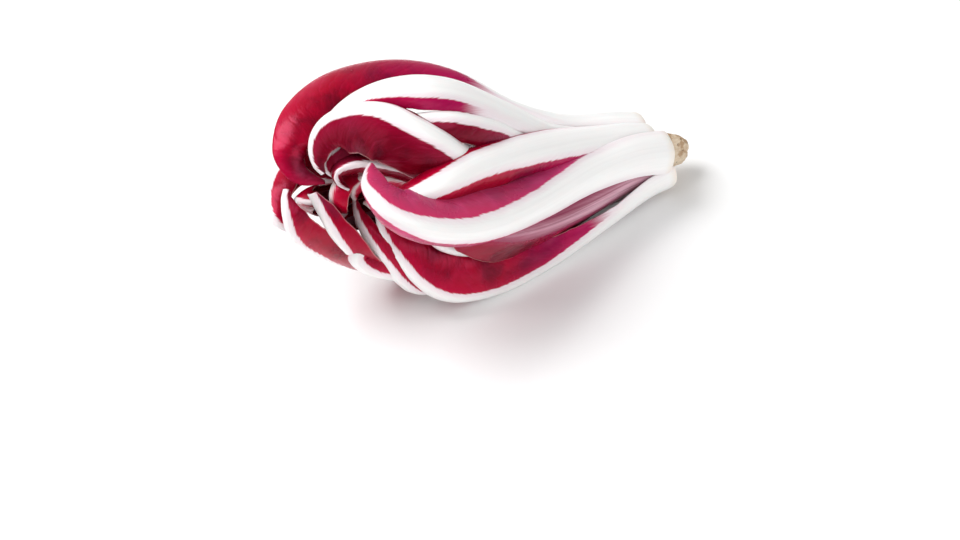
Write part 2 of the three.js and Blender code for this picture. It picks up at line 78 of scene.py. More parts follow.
# The leaves. A route runs from the base to the tip through points (along, out, round, roll):
# along the axis, out from it, round it from straight up toward the front, and the turn of the
# leaf about its own line. rib is the half width at the shares in RIB_SHARE. blades and folds are
# the widest blade and its fold angle, on the side round counts down to and the side it counts
# up to. red_from is the share of the leaf's length at which its red starts.
# leaf_inner_1 is wider here than in the model, and leaf_inner_3 lies a little nearer the front.
LEAVES = (
    dict(
        name="leaf_outer_1",
        rib=(8.4, 6.6, 4.2, 0.5),
        blades=(14.5, 6),
        folds=(80, 85),
        red_from=0.19,
        route=(
            (9, 16.5, 57, 0), (27, 19, 56, 0), (48, 22, 65, 6), (71, 29, 76, 14),
            (93, 37, 79.5, 18), (114, 43, 78.5, 20), (132, 45, 74, 20), (146, 43, 66, 22),
            (152, 38.5, 57, 26), (152.5, 32, 45, 30), (148.5, 28, 34, 34), (144, 25.5, 25, 34),
        ),
    ),
    dict(
        name="leaf_outer_2",
        rib=(7.4, 5.6, 4, 0.8),
        blades=(17, 8),
        folds=(80, 85),
        red_from=0.19,
        route=(
            (5, 15.5, 110, 0), (18, 18, 122, 4), (38, 26.5, 137, 13), (60, 36, 145, 20),
            (82, 42.5, 147, 24), (101, 43.5, 147, 26), (113, 39.9, 147, 25),
            (121.5, 32.6, 145, 22), (127.2, 25.1, 141, 18), (131.8, 18.2, 136, 12),
            (134.6, 12.4, 124, 8), (135.3, 7.5, 106, 5),
        ),
    ),
    dict(
        name="leaf_outer_3",
        rib=(6.6, 5.8, 5, 0.8),
        blades=(7, 9),
        folds=(80, 85),
        red_from=0.19,
        route=(
            (7, 15.5, 179, 0), (22, 17.5, 178, 0), (45, 24.5, 176, 0), (70, 33, 174, 0),
            (94, 39.5, 171, 0), (108, 41.2, 168, 0), (118, 38.5, 163, -3), (126, 32, 157, -8),
            (132.5, 24, 151, -12), (138, 16.5, 145, -15), (141, 10, 139, -15),
            (142, 4, 136, -15), (141, -2, 135, -15),
        ),
    ),
    dict(
        name="leaf_outer_4",
        rib=(6.6, 5.8, 4.4, 1.1),
        blades=(12, 7),
        folds=(70, 85),
        red_from=0.19,
        route=(
            (8, 15.5, 226, 0), (22, 17.5, 223, 0), (45, 24.5, 214, 0), (70, 33.5, 204, 0),
            (94, 41, 199, 0), (113, 43, 199, -8), (132, 38, 198, -25), (148, 27.5, 193, -42),
            (159, 18.2, 187, -55), (166, 9.5, 178, -62), (169, 1.5, 160, -64),
            (169, -4.5, 146, -62), (167.5, -8.5, 143, -60),
        ),
    ),
    dict(
        name="leaf_outer_5",
        rib=(6.6, 5.6, 4, 1.2),
        blades=(9, 11),
        folds=(80, 85),
        red_from=0.19,
        route=(
            (10, 15.5, 273, 0), (25, 18, 272, 0), (48, 26, 271, 0), (72, 36, 270, 0),
            (98, 44, 270, 0), (124, 44.5, 270, 0), (144, 39.5, 268, 6), (155.5, 34, 262, 14),
            (162, 28, 255, 20), (165, 23.5, 245, 26), (165.5, 19.5, 231, 28),
            (163, 18.5, 218, 28), (157, 19.5, 208, 28),
        ),
    ),
    dict(
        name="leaf_outer_6",
        rib=(7, 6.2, 1.3, 0.3),
        blades=(9, 18),
        folds=(80, 104),
        red_from=0.3,
        route=(
            (12, 16.5, -34, 14), (24, 18, -35, 16), (45, 20, -38, 12), (66, 28.5, -42, 2),
            (88, 43.8, -46, -14), (112, 50.8, -49, -28), (138, 49.2, -51, -33),
            (158, 38.5, -50, -29), (167.5, 24, -46, -23), (166.5, 14, -40, -18),
            (161, 9, -33, -16), (152, 8, -27, -16),
        ),
    ),
    dict(
        name="leaf_middle_1",
        rib=(5.8, 6.4, 4.6, 0.8),
        blades=(6.5, 8.5),
        folds=(80, 85),
        red_from=0.19,
        route=(
            (13, 14, 8, 0), (24, 16, 12, 2), (41, 19, 21, 10), (64, 25, 30, 18),
            (86, 31.5, 38, 25), (108, 37, 45, 30), (122, 38.5, 51, 32), (134, 36, 56, 32),
            (142, 30, 60, 32), (144, 22, 62, 32), (138, 15, 62, 32),
        ),
    ),
    dict(
        name="leaf_middle_2",
        rib=(7.4, 5.4, 3.2, 0.6),
        blades=(5, 13),
        folds=(70, 38),
        red_from=-0.05,
        route=(
            (12, 13.5, 99, 0), (26, 14.5, 106, -5), (45, 19.5, 110, -12), (65, 25, 107, -18),
            (86, 29.5, 101, -20), (101, 30.5, 94, -20), (112, 28, 85, -20), (117, 23, 76, -20),
        ),
    ),
    dict(
        name="leaf_middle_3",
        rib=(4.8, 5, 4.4, 2.4),
        blades=(9, 7),
        folds=(65, 85),
        red_from=0.19,
        route=(
            (12, 12, 152, 0), (28, 14, 154, 0), (48, 20, 158, 0), (72, 27, 160, 0),
            (96, 33, 161, 0), (116, 34, 161, 0), (128.4, 31.4, 160, -6), (137.5, 27.5, 158, -14),
            (142.5, 22.5, 155, -22), (142, 18, 150, -26), (139.5, 15, 146, -26),
        ),
    ),
    dict(
        name="leaf_middle_4",
        rib=(4.8, 5, 3.6, 0.7),
        blades=(8, 8),
        folds=(80, 85),
        red_from=0.19,
        route=(
            (12, 12, 203, 0), (28, 14, 205, 0), (48, 20, 209, 0), (72, 28.5, 215, 0),
            (98, 35, 220, 0), (120, 33, 220, 0), (136, 26, 216, 0), (144, 16, 212, 0),
            (142, 7, 205, 0),
        ),
    ),
    dict(
        name="leaf_middle_5",
        rib=(4.8, 5.4, 2.2, 0.5),
        blades=(11, 11),
        folds=(80, 85),
        red_from=0.19,
        route=(
            (12, 12, 249, 0), (28, 14, 249, 0), (48, 21, 248, 0), (72, 31, 245, 0),
            (98, 39, 242, 0), (122, 40, 241, 0), (142, 33, 243, 0), (154, 22, 246, 0),
            (156, 12, 250, 0), (152, 3, 252, 0),
        ),
    ),
    dict(
        name="leaf_middle_6",
        rib=(4.8, 5.4, 2.8, 0.5),
        blades=(11, 11),
        folds=(80, 85),
        red_from=0.19,
        route=(
            (12, 12, 300, 0), (28, 13.5, 296, 0), (48, 17.5, 288, 0), (72, 28, 283, 0),
            (98, 37.5, 283, 0), (122, 41, 284, 0), (143, 36, 287, 0), (155, 26, 292, 0),
            (158, 15.5, 298, 0), (153, 10, 306, 0), (145, 8, 325, 0),
        ),
    ),
    dict(
        name="leaf_inner_1",
        rib=(4.4, 8.4, 8.4, 1),
        blades=(8, 5),
        folds=(80, 85),
        red_from=0.52,
        route=(
            (15, 11.5, -15, 0), (28, 12.5, -13, 3), (55, 18, -10, 8), (79, 31, -3, 14),
            (98, 41, -3, 15), (111, 45.5, -3, 15), (122, 46.5, -5, 15), (133, 44.5, -10, 12),
            (143, 39, -17, 8), (150, 31, -25, 5), (152, 22, -30, 5),
        ),
    ),
    dict(
        name="leaf_inner_2",
        rib=(3.6, 4.4, 4.4, 1),
        blades=(7, 16),
        folds=(55, 75),
        red_from=0.19,
        route=(
            (16, 9, 46, 0), (35, 11, 42, 0), (60, 14, 40, 0), (85, 20.5, 40, 0),
            (104, 30, 38, 0), (118, 39, 31, 0), (130, 42.5, 20, 0), (138, 42.5, 8, 0),
            (146, 38.5, -6, 0), (153, 33.5, -15, 0), (157, 27.5, -20, 0), (158.5, 21, -20, 0),
            (157.5, 15.5, -15, 0), (155, 12.5, -9, 0),
        ),
    ),
    dict(
        name="leaf_inner_3",
        rib=(3.4, 4.6, 2.4, 0.5),
        blades=(7, 9),
        folds=(80, 85),
        red_from=0.19,
        route=(
            (16, 8.5, 12, 0), (30, 9.5, 12, 0), (55, 13.5, 13, 0), (75, 23.5, 14, 0),
            (95, 34.5, 17, 0), (113, 40.5, 16, 0), (128, 37.5, 9, 0), (140, 29.5, -4, 0),
            (149, 22, -12, 0), (153.5, 17.5, -14, 0), (153.5, 13.5, -8, 0), (150, 11, 2, 0),
        ),
    ),
    dict(
        name="leaf_inner_4",
        rib=(3.2, 3.4, 1.6, 0.4),
        blades=(8, 10),
        folds=(80, 85),
        red_from=0.19,
        route=(
            (16, 8.5, 78, 0), (32, 9.5, 74, 0), (55, 11, 68, 0), (80, 15.5, 66, 0),
            (105, 21, 58, 0), (125, 24, 40, 0), (140, 22, 22, 0), (148, 19, 13, 0),
            (152, 15.5, 12, 0), (151, 12, 20, 0), (147, 10, 30, 0),
        ),
    ),
    dict(
        name="leaf_inner_5",
        rib=(3.4, 4.4, 3.4, 0.7),
        blades=(8, 8),
        folds=(80, 85),
        red_from=0.19,
        route=(
            (16, 9, 119, 0), (32, 13, 128, 0), (55, 20, 130, 0), (80, 26, 129, 0),
            (100, 28, 125, 0), (114, 25, 118, 0), (121, 19, 108, 0), (122, 12, 96, 0),
        ),
    ),
    dict(
        name="leaf_inner_6",
        rib=(3.4, 4, 3.2, 0.7),
        blades=(9, 8),
        folds=(80, 85),
        red_from=0.19,
        route=(
            (16, 8, 160, 0), (34, 10, 166, 0), (58, 14, 171, 0), (84, 20, 178, 0),
            (108, 24, 186, 0), (126, 21, 190, 0), (136, 14, 192, 0), (138, 6, 194, 0),
        ),
    ),
    dict(
        name="leaf_inner_7",
        rib=(3.4, 4.4, 3.6, 2.6),
        blades=(7.5, 5.5),
        folds=(50, 70),
        red_from=0.19,
        route=(
            (40, 11, 210, 0), (62, 17.5, 208, 0), (88, 26, 202, 0), (113, 29, 191, 0),
            (126, 28, 182, 0), (136, 25, 174, -8), (143, 20.5, 166, -20), (148, 15.5, 158, -30),
            (152, 10.5, 150, -35), (154.5, 5, 147, -35), (156.5, 0, 147, -35),
            (158.5, -5, 147, -35),
        ),
    ),
    dict(
        name="leaf_inner_8",
        rib=(3.4, 4.2, 3.2, 0.7),
        blades=(7, 8),
        folds=(80, 85),
        red_from=0.19,
        route=(
            (16, 8, 264, 0), (34, 10, 270, 0), (58, 15, 276, 0), (84, 23, 282, 0),
            (108, 29, 286, 0), (128, 28, 288, 0), (140, 20, 290, 0), (142, 11, 290, 0),
        ),
    ),
    dict(
        name="leaf_heart_1",
        rib=(2.6, 3.2, 2.4, 0.6),
        blades=(6, 6),
        folds=(80, 85),
        red_from=0.19,
        route=(
            (20, 4.5, 20, 0), (40, 6, 20, 0), (66, 9, 15, 0), (90, 12, 5, 0), (108, 12, -15, 0),
            (118, 8, -40, 0), (120, 3, -70, 0),
        ),
    ),
    dict(
        name="leaf_heart_2",
        rib=(2.6, 3.2, 2.4, 0.6),
        blades=(6, 6),
        folds=(80, 85),
        red_from=0.19,
        route=(
            (20, 4.5, 140, 0), (40, 6, 140, 0), (66, 9, 138, 0), (88, 12, 128, 0),
            (104, 12, 110, 0), (114, 8, 90, 0), (116, 3, 70, 0),
        ),
    ),
    dict(
        name="leaf_heart_3",
        rib=(2.6, 3.2, 2.4, 0.6),
        blades=(6, 6),
        folds=(80, 85),
        red_from=0.19,
        route=(
            (20, 4.5, 256, 0), (40, 6, 250, 0), (66, 9, 250, 0), (88, 12, 258, 0),
            (104, 12, 270, 0), (113, 8, 280, 0), (114, 3, 290, 0),
        ),
    ),
    dict(
        name="leaf_heart_4",
        rib=(2.2, 2.8, 1.7, 0.5),
        blades=(8, 8),
        folds=(85, 85),
        red_from=0.1,
        route=(
            (60, 11, -62, 0), (92, 14.5, -58, 0), (120, 14.5, -50, 0), (138, 12.5, -36, 0),
            (147.5, 10, -20, 0), (151.5, 6, -5, 0), (151, 1, 10, 0), (147, -4, 25, 0),
            (141, -8, 35, 0),
        ),
    ),
    dict(
        name="leaf_heart_5",
        rib=(2.2, 2.8, 1.7, 0.5),
        blades=(9, 9),
        folds=(85, 90),
        red_from=0.1,
        route=(
            (60, 9, 48, 0), (90, 12.5, 50, 0), (115, 15, 42, 0), (130, 15, 28, 0),
            (139, 13.5, 16, 0), (143.5, 9.5, 14, 0), (144, 5, 20, 0), (141.5, 1, 30, 0),
        ),
    ),
    dict(
        name="leaf_heart_6",
        rib=(2.2, 2.8, 1.9, 0.5),
        blades=(9, 8),
        folds=(100, 90),
        red_from=0.1,
        route=(
            (60, 13, 100, 0), (90, 17, 99, 0), (115, 18, 97, 0), (130, 14.5, 88, 0),
            (138, 9.5, 80, 0), (139.5, 4, 70, 0),
        ),
    ),
)

# ---------------------------------------------------------------- how finely a leaf is made
STATIONS = 150
TIP_CROWDING = 1.2
ROUTE_STEPS = 900
RIB_POINTS = 15
BLADE_POINTS = 12
# Rings that round the foot, as shares of its length.
FOOT_RINGS = (0, 0.12, 0.35, 0.65)
# The height of the lowest points above the surface.
LOWEST = 0.02

# Crinkles of the blades, as (wavelength, height). They grow toward the free edge by this power,
# and are full where a blade is this wide.
CRINKLES = ((38.0, 0.36), (21.0, 0.16), (10.5, 0.06))
CRINKLE_GROWTH = 1.7
CRINKLED_WIDTH = 8.0
# The ragged edge of a blade, as (wavelength, how far the edge comes in), and the most that it
# comes in as a share of the blade's width.
RAGGED_EDGE = ((23.0, 0.2), (9.1, 0.07), (4.7, 0.04))
MOST_RAGGED = 0.15
# A blade is no thicker than this share of its rib, and its edge is rounded by this much.
MOST_BLADE = 0.6
EDGE_ROUNDING = 0.4
# Shallow flutes run the length of a rib.
FLUTES = 5
FLUTE_DEPTH = 0.07
# Added to a leaf's number on its inner face, so that its skin can tell the two faces apart.
INNER_MARK = 0.5
# The waves of each leaf start from this number plus its own.
LEAF_SEED = 100


def table_at(rows, places):
    """Values of a list of (place, value) rows at places between them."""
    return np.interp(places, [row[0] for row in rows], [row[1] for row in rows])


def head_points(along, out, round_):
    """Points of the head from their distances along the axis, out from it and round it."""
    outward = np.outer(np.cos(round_), UP) + np.outer(np.sin(round_), FRONT)
    return np.outer(along, AXIS) + out[:, None] * outward


def route_at(route, t):
    """Rows of the smooth line through a route's points, at t from 0 to 1."""
    points = np.array(route, float)
    ends = np.vstack([2 * points[0] - points[1], points, 2 * points[-1] - points[-2]])
    u = np.clip(t, 0, 1) * (len(points) - 1)
    i = np.clip(u.astype(int), 0, len(points) - 2)
    f = (u - i)[:, None]
    before, here, after, later = ends[i], ends[i + 1], ends[i + 2], ends[i + 3]
    a = after - before
    b = 2 * before - 5 * here + 4 * after - later
    c = 3 * here - before - 3 * after + later
    return here + 0.5 * f * (a + f * (b + f * c))


def stations_of(route, shares):
    """Places, backs, acrosses and the length of a leaf's line, at shares of its length.

    The back faces straight out from the axis at the base, is carried along the leaf without
    twisting, and is then turned by the roll.
    """
    t = np.linspace(0, 1, ROUTE_STEPS + 1)
    rows = route_at(route, t)
    line = head_points(rows[:, 0], rows[:, 1], np.radians(rows[:, 2]))
    run = np.r_[0, np.cumsum(np.linalg.norm(np.diff(line, axis=0), axis=1))]
    length = run[-1]
    even = np.interp(t, run / length, t)
    rows = route_at(route, even)
    places = head_points(rows[:, 0], rows[:, 1], np.radians(rows[:, 2]))
    growth = np.gradient(places, axis=0)
    growth /= np.linalg.norm(growth, axis=1)[:, None]
    first = math.radians(rows[0, 2])
    carried = math.cos(first) * UP + math.sin(first) * FRONT
    backs = np.empty_like(growth)
    for i, direction in enumerate(growth):
        carried = carried - direction * (carried @ direction)
        carried /= np.linalg.norm(carried)
        backs[i] = carried
    across = np.cross(backs, growth)
    roll = np.radians(rows[:, 3])[:, None]
    rolled_backs = backs * np.cos(roll) + across * np.sin(roll)
    rolled_across = across * np.cos(roll) - backs * np.sin(roll)
    picks = np.rint(shares * ROUTE_STEPS).astype(int)
    return places[picks], rolled_backs[picks], rolled_across[picks], length


def leaf_shares():
    """Where a leaf's rings stand: close together round its foot and toward its tip."""
    foot = FOOT_SHARE * np.array(FOOT_RINGS)
    rest = 1 - (1 - np.linspace(0, 1, STATIONS)) ** TIP_CROWDING
    return np.r_[foot, rest[rest >= FOOT_SHARE]]


def waves(rows, distance, rng):
    """A sum of waves along a leaf, each with a starting point of its own."""
    total = np.zeros_like(distance)
    for wavelength, height in rows:
        start = rng.uniform(0, 2 * math.pi)
        total += height * np.sin(2 * math.pi * distance / wavelength + start)
    return total


def blade_side(half, width, fold, thick, distance, rng):
    """One blade's rows of points, from the rib to its edge: outer x and y, inner x and y.

    It leaves the rib along the rib's arc and bends inward to its fold angle. Its crinkles lift
    both faces alike.
    """
    start = math.atan(2 * RIB_ARCH)
    end = math.radians(fold)
    steps = (np.arange(BLADE_POINTS) + 1) / BLADE_POINTS
    middle = start + (end - start) * (steps - 0.5 / BLADE_POINTS)
    turn = start + (end - start) * steps
    ragged = sum(depth for _, depth in RAGGED_EDGE)
    trim = np.minimum(width * MOST_RAGGED, ragged + waves(RAGGED_EDGE, distance, rng))
    reach = (width - np.maximum(trim, 0))[:, None] / BLADE_POINTS
    x = half[:, None] + reach * np.cumsum(np.cos(middle))
    y = -reach * np.cumsum(np.sin(middle))
    full = np.clip(width / CRINKLED_WIDTH, 0, 1)[:, None]
    lift = waves(CRINKLES, distance, rng)[:, None] * steps**CRINKLE_GROWTH * full
    x = x + lift * np.sin(turn)
    y = y + lift * np.cos(turn)
    depth = thick[:, None] + (EDGE_THICKNESS - thick[:, None]) * steps
    inner_x = x - np.sin(turn) * depth
    inner_y = y - np.cos(turn) * depth
    return x, y, inner_x, inner_y


def edge_point(outer_x, outer_y, inner_x, inner_y, column, neighbour):
    """The points that round a free edge, halfway between its two faces and a little past them."""
    mid_x = (outer_x[:, column] + inner_x[:, column]) / 2
    mid_y = (outer_y[:, column] + inner_y[:, column]) / 2
    out_x = outer_x[:, column] - outer_x[:, neighbour]
    out_y = outer_y[:, column] - outer_y[:, neighbour]
    gain = EDGE_THICKNESS * EDGE_ROUNDING / np.maximum(np.hypot(out_x, out_y), 1e-6)
    return (mid_x + out_x * gain)[:, None], (mid_y + out_y * gain)[:, None]


def leaf_rings(leaf, order):
    """The rings of a leaf's skin, with where each of its points is on the leaf.

    Returns points, and rows of (along, across, order) and (share past the start of the red, past
    the rib, blade share). The order is raised by INNER_MARK on the inner face.
    """
    rng = random.Random(LEAF_SEED + order)
    shares = leaf_shares()
    places, backs, across, length = stations_of(leaf["route"], shares)
    distance = shares * length
    half = np.interp(shares, RIB_SHARE, leaf["rib"])
    spread = table_at(BLADE_SHARE, shares)
    thick = table_at(RIB_THICKNESS, shares)
    edge = np.minimum(BLADE_THICKNESS, thick * MOST_BLADE)
    arch = RIB_ARCH * half

    k = np.linspace(-1, 1, RIB_POINTS)
    bulge = 1 - k * k
    flutes = FLUTE_DEPTH * np.cos(math.pi * FLUTES * k) * bulge
    rib_x = half[:, None] * k
    rib_y = arch[:, None] * bulge + flutes
    rib_inner_x = RIB_INSIDE * rib_x
    rib_inner_y = arch[:, None] * bulge - edge[:, None] - (thick - edge)[:, None] * bulge

    sides = []
    for blade, fold in zip(leaf["blades"], leaf["folds"]):
        sides.append(blade_side(half, blade * spread, fold, edge, distance, rng))
    (low_x, low_y, low_ix, low_iy), (high_x, high_y, high_ix, high_iy) = sides
    outer_x = np.hstack([-low_x[:, ::-1], rib_x, high_x])
    outer_y = np.hstack([low_y[:, ::-1], rib_y, high_y])
    inner_x = np.hstack([-low_ix[:, ::-1], rib_inner_x, high_ix])
    inner_y = np.hstack([low_iy[:, ::-1], rib_inner_y, high_iy])
    low_edge = edge_point(outer_x, outer_y, inner_x, inner_y, 0, 1)
    high_edge = edge_point(outer_x, outer_y, inner_x, inner_y, -1, -2)
    ring_x = np.hstack([outer_x, high_edge[0], inner_x[:, ::-1], low_edge[0]])
    ring_y = np.hstack([outer_y, high_edge[1], inner_y[:, ::-1], low_edge[1]]) - arch[:, None]

    # The cut foot is rounded off.
    foot = np.clip(shares / FOOT_SHARE, 0, 1)
    size = (FOOT_SIZE + (1 - FOOT_SIZE) * np.sqrt(1 - (1 - foot) ** 2))[:, None]
    core = -(thick / 2)[:, None]
    ring_x = ring_x * size
    ring_y = core + (ring_y - core) * size

    points = (
        (CROWN + places)[:, None, :]
        + ring_x[:, :, None] * across[:, None, :]
        + ring_y[:, :, None] * backs[:, None, :]
    )
    # The lowest leaves are pressed flat on the surface.
    points[:, :, 2] = np.maximum(points[:, :, 2], LOWEST)

    # Where each point is: across the leaf from its middle line, and past the rib's edge. side is
    # 0 on the low blade, 0.5 on the rib and 1 on the high blade.
    steps = (np.arange(BLADE_POINTS) + 1) / BLADE_POINTS
    blade_share = np.r_[steps[::-1], np.zeros(RIB_POINTS), steps]
    side = np.r_[np.zeros(BLADE_POINTS), np.full(RIB_POINTS, 0.5), np.ones(BLADE_POINTS)]
    widths = np.where(side == 0, leaf["blades"][0], leaf["blades"][1]) * spread[:, None]
    rib_place = np.r_[-np.ones(BLADE_POINTS), k, np.ones(BLADE_POINTS)]
    on_rib = (np.abs(rib_place) - 1) * half[:, None]
    past = np.where(side == 0.5, on_rib, blade_share * widths)
    across_mm = rib_place * half[:, None] + np.sign(side - 0.5) * blade_share * widths

    def round_ring(face, inner=None):
        """Values of a face's points carried round the ring, or others on its inner face."""
        face = np.broadcast_to(face, outer_x.shape)
        inner = face if inner is None else np.broadcast_to(inner, outer_x.shape)
        return np.hstack([face, face[:, -1:], inner[:, ::-1], face[:, :1]])

    count = ring_x.shape[1]
    place_rows = np.stack([
        np.repeat(distance[:, None], count, axis=1),
        round_ring(across_mm),
        round_ring(order, order + INNER_MARK),
    ], axis=-1)
    part_rows = np.stack([
        np.repeat((shares - leaf["red_from"])[:, None], count, axis=1),
        round_ring(past),
        round_ring(blade_share),
    ], axis=-1)
    return points, place_rows, part_rows


def skin_faces(rings, size):
    """Faces of a closed skin over rings of points, with both ends closed by a fan of quads."""
    faces = []
    for i in range(rings - 1):
        for j in range(size):
            a, b = i * size + j, i * size + (j + 1) % size
            faces.append((a, a + size, b + size, b))
    last = (rings - 1) * size
    wide = size // 2 - 1
    for j in range(wide - 1):
        a, b, c, d = j, j + 1, 2 * wide - j - 1, 2 * wide - j
        faces.append((a, b, c, d))
        faces.append((last + a, last + d, last + c, last + b))
    faces.append((0, 2 * wide, size - 1))
    faces.append((last, last + size - 1, last + 2 * wide))
    faces.append((wide - 1, wide, wide + 1))
    faces.append((last + wide - 1, last + wide + 1, last + wide))
    return faces


def mesh_object(name, points, faces, material):
    """A smooth-shaded object from points in millimetres."""
    mesh = bpy.data.meshes.new(name)
    mesh.from_pydata((np.asarray(points) * MM).tolist(), [], faces)
    mesh.validate()
    mesh.shade_smooth()
    mesh.materials.append(material)
    piece = bpy.data.objects.new(name, mesh)
    bpy.context.scene.collection.objects.link(piece)
    return piece


def note_on_points(mesh, name, rows):
    """Keeps a vector for each point of a mesh, which its material reads by name."""
    attribute = mesh.attributes.new(name, "FLOAT_VECTOR", "POINT")
    attribute.data.foreach_set("vector", np.asarray(rows, np.float32).ravel())


# ---------------------------------------------------------------- shader nodes
def set_inputs(tree, sockets, inputs):
    """Gives sockets their values, or links from other sockets."""
    for name, value in inputs.items():
        if isinstance(value, bpy.types.NodeSocket):
            tree.links.new(value, sockets[name])
        else:
            sockets[name].default_value = value


def add_node(tree, kind, inputs=None, **settings):
    """A node with its settings, and its inputs given as values or as sockets to link from."""
    made = tree.nodes.new(kind)
    for name, value in settings.items():
        setattr(made, name, value)
    set_inputs(tree, made.inputs, inputs or {})
    return made


def reckon(tree, operation, first, second=0.0):
    """The value of a sum, product or other operation on values or sockets."""
    made = add_node(tree, "ShaderNodeMath", {0: first, 1: second}, operation=operation)
    return made.outputs[0]


def times(tree, first, second):
    """The product of two values or sockets."""
    return reckon(tree, "MULTIPLY", first, second)


def swing(tree, value, size):
    """A value from 0 to 1 made to swing about 0, by half of size to each side."""
    return times(tree, reckon(tree, "SUBTRACT", value, 0.5), size)


def rise(tree, value, low, high, to_low=0.0, to_high=1.0):
    """A value's smooth rise from one level to another between two of its values."""
    made = add_node(
        tree, "ShaderNodeMapRange",
        {"Value": value, "From Min": low, "From Max": high, "To Min": to_low, "To Max": to_high},
        interpolation_type="SMOOTHSTEP",
    )
    return made.outputs["Result"]


# The sockets of a colour mix: its share, its two colours and its result.
MIX_SHARE = 0
MIX_FIRST = 6
MIX_SECOND = 7
MIX_COLOUR = 2
# The two values and the result of a mix of values.
MIX_LOW = 2
MIX_HIGH = 3


def blend(tree, share, first, second):
    """Two colours mixed by a share."""
    made = add_node(tree, "ShaderNodeMix", data_type="RGBA")
    set_inputs(tree, made.inputs, {MIX_SHARE: share, MIX_FIRST: first, MIX_SECOND: second})
    return made.outputs[MIX_COLOUR]


def place_vector(tree, x, y, z):
    """A vector from three values or sockets."""
    return add_node(tree, "ShaderNodeCombineXYZ", {0: x, 1: y, 2: z}).outputs[0]


def vector_parts(tree, vector):
    """The X, Y and Z of a vector."""
    parts = add_node(tree, "ShaderNodeSeparateXYZ", {0: vector}).outputs
    return parts["X"], parts["Y"], parts["Z"]


def noise(tree, vector, scale, detail=2.0, roughness=0.5):
    """Noise over a vector, from 0 to 1."""
    made = add_node(
        tree, "ShaderNodeTexNoise",
        {"Vector": vector, "Scale": scale, "Detail": detail, "Roughness": roughness},
    )
    return made.outputs["Fac"]


def new_effect(name, inputs, outputs):
    """A shader node group with named inputs, as (name, socket kind, value), and named outputs."""
    tree = bpy.data.node_groups.new(name, "ShaderNodeTree")
    for socket_name, kind, value in inputs:
        socket = tree.interface.new_socket(socket_name, in_out="INPUT", socket_type=kind)
        if value is not None:
            socket.default_value = value
    for socket_name, kind in outputs:
        tree.interface.new_socket(socket_name, in_out="OUTPUT", socket_type=kind)
    given = tree.nodes.new("NodeGroupInput")
    result = tree.nodes.new("NodeGroupOutput")
    return tree, given.outputs, result.inputs


def use_effect(tree, effect, inputs):
    """A group placed in a material, with its outputs."""
    made = tree.nodes.new("ShaderNodeGroup")
    made.node_tree = effect
    set_inputs(tree, made.inputs, inputs)
    return made.outputs


def leaf_lanes(tree, place, slant):
    """Along, across and the place in the herringbone of side veins, which run up the blade."""
    along, across, order = vector_parts(tree, place)
    far = reckon(tree, "ABSOLUTE", across)
    lane = reckon(tree, "SUBTRACT", along, times(tree, far, slant))
    return along, across, order, lane


# Noise differs from leaf to leaf because a leaf's number, times one of these, is its third
# coordinate.
VEIN_SEED = 31.7
NET_SEED = 7.3
FIBRE_SEED = 19.1
FLUSH_SEED = 13.3


def make_side_veins():
    """Side veins that climb from the rib to the blade's edge, and the puffed skin between them."""
    tree, given, result = new_effect(
        "side_veins",
        [("Place", "NodeSocketVector", None), ("Spacing", "NodeSocketFloat", 7.5),
         ("Slant", "NodeSocketFloat", 1.5)],
        [("Vein", "NodeSocketFloat"), ("Height", "NodeSocketFloat")],
    )
    along, across, order, lane = leaf_lanes(tree, given["Place"], given["Slant"])
    spot = place_vector(tree, along, across, times(tree, order, VEIN_SEED))
    wander = noise(tree, spot, 0.09)
    bent = reckon(tree, "ADD", lane, times(tree, wander, 16.0))
    turn = reckon(tree, "DIVIDE", bent, given["Spacing"])
    between = reckon(tree, "SUBTRACT", reckon(tree, "FRACT", turn), 0.5)
    from_vein = reckon(tree, "ABSOLUTE", between)
    line = rise(tree, from_vein, 0.02, 0.085, 1.0, 0.0)
    patchy = rise(tree, noise(tree, spot, 0.16), 0.4, 0.62)
    tree.links.new(times(tree, line, patchy), result["Vein"])
    tree.links.new(rise(tree, from_vein, 0.0, 0.3), result["Height"])
    return tree


def make_net_veins():
    """The fine net of veins between the side veins."""
    tree, given, result = new_effect(
        "net_veins",
        [("Place", "NodeSocketVector", None), ("Cell", "NodeSocketFloat", 2.6)],
        [("Vein", "NodeSocketFloat"), ("Height", "NodeSocketFloat")],
    )
    _, across, order, lane = leaf_lanes(tree, given["Place"], 1.1)
    size = reckon(tree, "DIVIDE", 1.0, given["Cell"])
    spot = place_vector(
        tree,
        times(tree, lane, times(tree, size, 0.75)),
        times(tree, across, times(tree, size, 0.45)),
        times(tree, order, NET_SEED),
    )
    cells = add_node(
        tree, "ShaderNodeTexVoronoi", {"Vector": spot, "Scale": 1.0}, feature="DISTANCE_TO_EDGE",
    ).outputs["Distance"]
    tree.links.new(rise(tree, cells, 0.0, 0.07, 1.0, 0.0), result["Vein"])
    tree.links.new(rise(tree, cells, 0.0, 0.3), result["Height"])
    return tree


def make_long_fibres():
    """Fibres that run the length of a rib: a streak in colour and in height."""
    tree, given, result = new_effect(
        "long_fibres",
        [("Place", "NodeSocketVector", None)],
        [("Streak", "NodeSocketFloat"), ("Height", "NodeSocketFloat")],
    )
    along, across, order = vector_parts(tree, given["Place"])
    seed = times(tree, order, FIBRE_SEED)
    wide = place_vector(tree, times(tree, along, 0.018), across, seed)
    fine = place_vector(tree, times(tree, along, 0.05), times(tree, across, 3.1), seed)
    streak = noise(tree, wide, 0.9, 3.0, 0.6)
    tree.links.new(streak, result["Streak"])
    height = reckon(tree, "ADD", streak, times(tree, noise(tree, fine, 0.8), 0.5))
    tree.links.new(height, result["Height"])
    return tree


